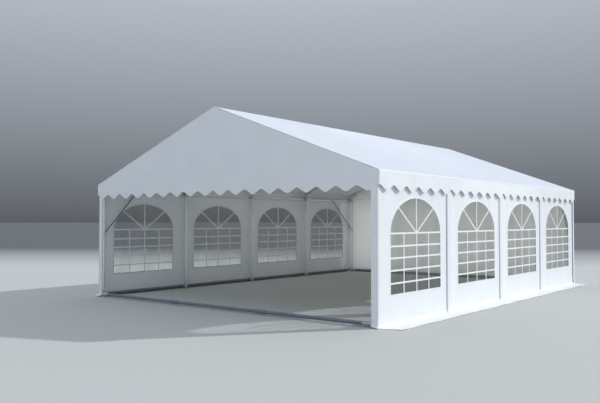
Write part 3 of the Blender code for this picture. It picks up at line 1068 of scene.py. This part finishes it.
def plate(form, centre, size, height):
    """A flat plate with rounded corners."""
    made = bmesh.ops.create_cube(form, size=1.0)["verts"]
    for corner in made:
        corner.co = Vector((corner.co.x * size, corner.co.y * size, corner.co.z * height))
        corner.co += Vector(centre)
    upright = [e for e in form.edges if all(v in made for v in e.verts)
               and abs(e.verts[0].co.z - e.verts[1].co.z) > height / 2]
    bmesh.ops.bevel(form, geom=upright, offset=0.015, segments=4, profile=0.5,
                    affect="EDGES")


def set_down(name, data, material, y, turned, *nodes):
    """Adds a steel piece of a frame at y, turned half round for the left-hand side."""
    piece = add_piece(name, data.copy(), material, "galvanised_steel", *nodes)
    piece.location.y = y
    piece.rotation_euler.z = pi if turned else 0.0


print("turned shapes ready")

# %% [markdown]
# A post is a zinc tube in a welded foot and under a welded head. The head's three sleeves
# take the post, the rafter and the eave rail, and the foot's sleeves take the bars on the
# ground. Tube and fittings are separate pieces because they have different finishes. The
# left-hand posts are the same ones, turned half round.

# %% Posts
uphill = Vector((-cos(slope), 0.0, sin(slope)))
sleeve_length, socket_length, plate_side = 0.12, 0.17, 0.14
socket_stop, bolt_place, knuckle = 0.0403, 0.13, 0.032
plate_height, head_drop, weld_place, head_bolt, foot_bolt = 0.008, 0.0414, 0.034, 0.018, 0.095


def reach(inward, length):
    """Y range of a sleeve on a frame at y = 0: centred, or from an end face inwards."""
    if inward == 0:
        return -length / 2, length / 2
    outer = -inward * (FITTING - 0.002)
    return sorted((outer, outer + inward * length))


def both_sides(inward):
    """Side, which way inward is for the mesh, and whether it is turned half round."""
    return ("right", inward, False), ("left", -inward, True)


def post_fittings(inward):
    form = bmesh.new()
    low, high = reach(inward, sleeve_length)
    knee = Vector((post_x, 0, knee_z))
    plate(form, (post_x, sum(reach(inward, plate_side)) / 2, plate_height / 2), plate_side,
          plate_height)
    sleeve(form, (post_x, 0, 0.006), (post_x, 0, sleeve_length))
    bead(form, (post_x, 0, 0.0085), (0, 0, 1))
    sleeve(form, (post_x, 0, rail_z - head_drop), knee)
    turn(form, knee - Vector((0, 0, knuckle)), (0, 0, 1),
         [(knuckle - knuckle * cos(pi * i / 10), knuckle * sin(pi * i / 10) if 0 < i < 10 else 0)
          for i in range(11)])
    sleeve(form, knee, knee + uphill * socket_length)
    bead(form, knee + uphill * weld_place, uphill)
    for z in (rail_z, bar_z):
        sleeve(form, (rail_x, low, z), (rail_x, high, z))
    for z in (rail_z - head_bolt, foot_bolt):
        bolt(form, (post_x - FITTING, 0, z), (-1, 0, 0))
    side = Vector((-sin(slope), 0, -cos(slope)))
    bolt(form, knee + uphill * bolt_place + side * FITTING, side)
    if inward:
        mouth = post_x - FITTING - sleeve_length
        sleeve(form, (post_x - 0.02, 0, bar_z), (mouth, 0, bar_z))
        bead(form, (post_x - FITTING - 0.002, 0, bar_z), (-1, 0, 0))
        bolt(form, (mouth + 0.03, 0, bar_z + FITTING), (0, 0, 1))
    return finished(form, "post_fittings")


form = bmesh.new()
tube(form, (post_x, 0, 0.01), (post_x, 0, rail_z + 0.06))
plain_tube = finished(form, "post_tube")
post_meshes = {inward: post_fittings(inward) for inward in (1, 0, -1)}
ways_inward = (1, 0, 0, 0, -1)
for k, (y, inward) in enumerate(zip(frame_lines, ways_inward), 1):
    for side, aim, turned in both_sides(inward):
        node = f"post_{side}_{k}"
        set_down(node + "_fittings", post_meshes[aim], fitting_zinc, y, turned, node)
        set_down(node + "_tube", plain_tube, zinc_tube, y, turned, node)
print("posts:", 2 * len(frame_lines))

# %% [markdown]
# Each pair of rafters meets in a ridge fitting, a sleeve along the tent with a socket down
# each slope. The ridge rail runs through all five of them.


# %% Rafters
def rafter_meshes(inward):
    top = Vector((0.0, 0.0, ridge_axis))
    low, high = reach(inward, sleeve_length)
    fittings, tubes = bmesh.new(), bmesh.new()
    sleeve(fittings, (0, low, ridge_axis), (0, high, ridge_axis))
    for side in (1, -1):
        down = Vector((side * cos(slope), 0.0, -sin(slope)))
        under = Vector((-side * sin(slope), 0, -cos(slope)))
        sleeve(fittings, top + down * 0.02, top + down * socket_length)
        bead(fittings, top + down * 0.033, down)
        bolt(fittings, top + down * bolt_place + under * FITTING, under)
        knee = Vector((side * post_x, 0.0, knee_z))
        tube(tubes, top + down * 0.04, knee - down * socket_stop)
    return finished(fittings, "ridge_fitting"), finished(tubes, "rafter_tubes")


for k, (y, inward) in enumerate(zip(frame_lines, ways_inward), 1):
    fittings, tubes = rafter_meshes(inward)
    node = f"rafter_pair_{k}"
    set_down(node + "_fitting", fittings, fitting_zinc, y, False, node)
    set_down(node + "_tubes", tubes, zinc_tube, y, False, node)
print("rafter pairs:", len(frame_lines))

# %% [markdown]
# The rails and the bars on the ground are plain lengths of tube. The bars that cross the
# gables come in three lengths, joined by sleeves with a bolt on each side of the joint.

# %% Rails and ground bars
run_low, run_high = (corner.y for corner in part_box("ridge_rail"))
bar_end, joint_x, joint_gap, coupling = post_x - socket_stop, 0.95, 0.0015, 0.029
coupling_reach, coupling_bolt = 0.0935, 0.06
rails = (("ridge_rail", 0.0, ridge_axis), ("eave_rail_right", rail_x, rail_z),
         ("eave_rail_left", -rail_x, rail_z), ("ground_bar_right", rail_x, bar_z),
         ("ground_bar_left", -rail_x, bar_z))
runs = [(node, (x, run_low, z), (x, run_high, z)) for node, x, z in rails]
runs += [(node, (-bar_end, y, bar_z), (bar_end, y, bar_z))
         for node, y in (("ground_bar_front", frame_lines[0]),
                         ("ground_bar_back", frame_lines[-1]))]
for node, start, end in runs:
    form = bmesh.new()
    tube(form, start, end)
    on_ground = node.startswith("ground")
    add_piece(node + "_tube", finished(form, node), ground_tube if on_ground else zinc_tube,
              "ground_bar_steel" if on_ground else "galvanised_steel", node)
    if start[1] != end[1]:
        continue
    form, y = bmesh.new(), start[1]
    for x in (-joint_x, joint_x):
        for aim in (-1, 1):
            sleeve(form, (x + aim * joint_gap, y, bar_z), (x + aim * coupling_reach, y, bar_z),
                   coupling)
            bolt(form, (x + aim * coupling_bolt, y, bar_z + coupling), (0, 0, 1))
    add_piece(node + "_couplings", finished(form, node), ground_tube, "ground_bar_steel")
print("rails and bars:", len(runs))

# %% [markdown]
# Thin knee braces stiffen the corners: a tube from a clamp on the post to a clamp on the
# eave rail, each clamp drawn tight by a bolt.

# %% Knee braces
brace_reach, brace_radius, clamp_half = 0.78, 0.010, 0.025


def brace_meshes(inward):
    rod, clamps = bmesh.new(), bmesh.new()
    on_post = Vector((post_x, 0.0, rail_z - brace_reach))
    on_rail = Vector((rail_x, inward * brace_reach, rail_z))
    tube(rod, on_post, on_rail, brace_radius)
    up, along = Vector((0, 0, clamp_half)), Vector((0, clamp_half, 0))
    sleeve(clamps, on_post - up, on_post + up)
    sleeve(clamps, on_rail - along, on_rail + along)
    bolt(clamps, on_post + Vector((0, inward * FITTING, 0)), (0, inward, 0))
    bolt(clamps, on_rail + Vector((-FITTING, 0, 0)), (-1, 0, 0))
    return finished(rod, "brace_rod"), finished(clamps, "brace_clamps")


for end, y, inward in (("front", frame_lines[0], 1), ("back", frame_lines[-1], -1)):
    for side, aim, turned in both_sides(inward):
        node = f"knee_brace_{end}_{side}"
        rod, clamps = brace_meshes(aim)
        set_down(node + "_tube", rod, brace_steel, y, turned, node)
        set_down(node + "_clamps", clamps, fitting_zinc, y, turned)
print("knee braces: 4")

# %% [markdown]
# The studio is a pale floor, under a plain sky that is brighter in front of the tent than
# behind it, so that white cloth and white bars stand out. The floor's colour darkens only far
# behind the tent, seen from the camera: that darkening is painted shade on the floor.

# %% Floor and sky
far, studio_depth = 400.0, (-0.6, 0.8, 0.0)
floor_data = bpy.data.meshes.new("floor")
floor_data.from_pydata([(-far, -far, 0), (far, -far, 0), (far, far, 0), (-far, far, 0)], [],
                       [(0, 1, 2, 3)])
studio_floor = bpy.data.objects.new("studio_floor", floor_data)
bpy.context.scene.collection.objects.link(studio_floor)
floor = Finish("floor_paint")
# Painted shade: the floor's colour goes dark far behind the tent.
far_floor_shade = floor.ranged(floor.toward(floor.place(), studio_depth), 6.5, 20.0)
floor_data.materials.append(floor.shade({
    "Base Color": floor.mixed(far_floor_shade, paint(188, 190, 188), paint(92, 95, 98)),
    "Roughness": 0.9}))

world = bpy.data.worlds.new("studio")
bpy.context.scene.world = world
world.use_nodes = True
sky = Recipe(world.node_tree)
look = sky.add("TexCoord").outputs["Generated"]
toward_front = sky.toward(look, [-x for x in studio_depth])
height = sky.parts(look)[2]
light = sky.mixed(sky.ranged(height, 0.0, 0.4), (0.11, 0.12, 0.135, 1.0),
                  (0.56, 0.61, 0.68, 1.0))
light = sky.mixed(sky.ranged(toward_front, -0.8, 0.6), light, (0.45, 0.505, 0.565, 1.0))
light = sky.mixed(sky.ranged(height, 0.3, 0.9), light, (0.74, 0.80, 0.88, 1.0))
sky.fill(world.node_tree.nodes["Background"], {"Color": light, "Strength": 1.0})
bpy.context.scene.view_settings.view_transform = "Standard"
print("floor and sky ready")

# %% [markdown]
# One low sun, behind the tent and to its right, rakes along the side wall: it draws the
# scallops' shadows on the wall and the thin line at each lap. Four faint lamps inside stand
# for the daylight that white cloth lets through and the ground throws back: one under each
# slope, one over the ground and one in front of the back wall.


# %% Lamps
def add_light(name, kind, toward, strength, colour, place=(0, 0, 0), **settings):
    data = bpy.data.lights.new(name, kind)
    data.energy = strength
    data.color = colour
    for key, value in settings.items():
        setattr(data, key, value)
    light = bpy.data.objects.new(name, data)
    light.location = place
    light.rotation_euler = Vector(toward).to_track_quat("Z", "Y").to_euler()
    light.visible_camera = False
    light.visible_glossy = kind == "SUN"
    bpy.context.scene.collection.objects.link(light)


def add_glow(name, toward, watts, colour, place, width, length, spread=180):
    add_light(name, "AREA", toward, watts, colour, place, shape="RECTANGLE", size=width,
              size_y=length, spread=radians(spread))


add_light("low_sun", "SUN", (0.518, 0.699, 0.492), 2.5, (1.0, 0.985, 0.96), angle=radians(1.2))
through_cloth, off_wall = (1.0, 0.99, 0.84), (1.0, 0.98, 0.88)
mid_y, mid_z = (front + back) / 2, (eave_height + ridge_height) / 2
for side, aim in (("right", 1), ("left", -1)):
    square = Vector((aim * sin(slope), 0.0, cos(slope)))
    place = Vector((aim * half_width / 2, mid_y, mid_z)) - square * 0.02
    add_glow(f"roof_glow_{side}", square, 10.0, through_cloth, place, 3.1, 7.8)
add_glow("floor_glow", (0, 0, -1), 13.0, through_cloth, (0, mid_y, 0.2), 4.6, 7.0)
add_glow("wall_glow", (0, -1, 0), 10.8, off_wall, (-0.02, back - 0.45, 1.0), 5.82, 1.9, 140)

# %% [markdown]
# The camera is placed so that the tent's known corners fall where the photo shows them. It
# stands at chest height, well in front of the right-hand corner, with a normal lens, which is
# neither wide nor long.

# %% Camera
camera_data = bpy.data.cameras.new("camera")
camera_data.lens = 40.67
camera_data.sensor_width = 36.0
camera = bpy.data.objects.new("camera", camera_data)
camera.location = (7.573, -11.473, 1.369)
camera.rotation_euler = (pi / 2 + 0.0282, 0.0, 0.6749)
bpy.context.scene.collection.objects.link(camera)
bpy.context.scene.camera = camera
print("camera at", tuple(round(x, 2) for x in camera.location))
